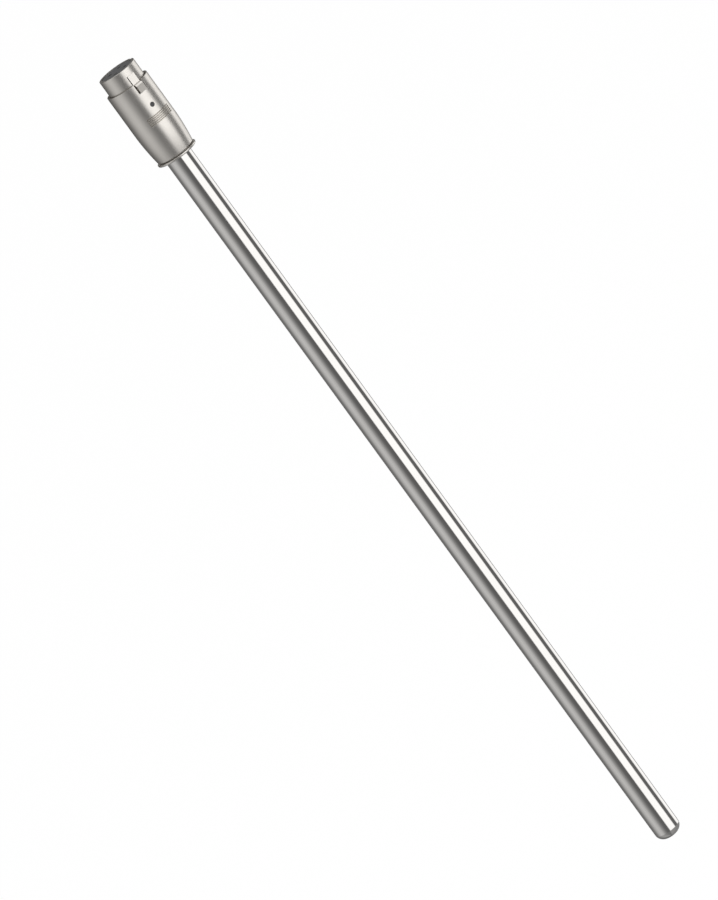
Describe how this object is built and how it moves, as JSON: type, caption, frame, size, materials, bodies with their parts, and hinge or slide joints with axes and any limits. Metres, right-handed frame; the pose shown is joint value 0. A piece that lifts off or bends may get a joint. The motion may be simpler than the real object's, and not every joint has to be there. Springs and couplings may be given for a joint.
{
  "type": "rtd probe",
  "caption": "Straight rtd temperature probe: a round stainless sheath with a closed rounded tip and, on its other end, a push-pull plug with a sliding release sleeve.",
  "frame": {"origin": "on the probe's axis at the plug's rear face, where the sheath comes out of it", "axes": "+Z along the axis from the sheath's tip to the plug's nose, -Y through the index dot and one latch finger"},
  "size_m": [0.0104, 0.0112, 0.2183],
  "materials": {
    "stainless_sheath": "bright drawn",
    "satin_plate": "satin plated",
    "nut_metal": "plated",
    "insert_plastic": "moulded",
    "index_fill": "paint fill",
    "contact_gold": "gold plated",
    "lead_metal": "nickel plated",
    "tube_ceramic": "fired",
    "element_ceramic": "fired",
    "magnesia_packing": "packed powder",
    "sealing_resin": "cast"
  },
  "bodies": {
    "probe": {"sheath": "stainless_sheath", "tip_packing": "magnesia_packing", "sensing_element": "element_ceramic", "potting_seal": "sealing_resin", "contact_retainer": "insert_plastic", "contact_insert": "insert_plastic", "latch_shell": "satin_plate", "back_nut": "nut_metal", "clamp_collet": "nut_metal", "insert_carrier_left": "nut_metal", "insert_carrier_right": "nut_metal", "ceramic_insulator_1": "tube_ceramic", "lead_wire_1": "lead_metal", "socket_contact_1": "contact_gold", "ceramic_insulator_2": "tube_ceramic", "lead_wire_2": "lead_metal", "socket_contact_2": "contact_gold", "ceramic_insulator_3": "tube_ceramic", "lead_wire_3": "lead_metal", "socket_contact_3": "contact_gold", "ceramic_insulator_4": "tube_ceramic", "lead_wire_4": "lead_metal", "socket_contact_4": "contact_gold"},
    "release_sleeve": {"release_sleeve": "satin_plate", "rear_ring": "satin_plate", "index_dot": "index_fill"}
  },
  "joints": [
    {"name": "sleeve_release", "type": "slide", "parent": "probe", "child": "release_sleeve", "axis": [0, 0, -1], "range_m": [0, 0.001], "stiffness_N_per_m": 400}
  ]
}
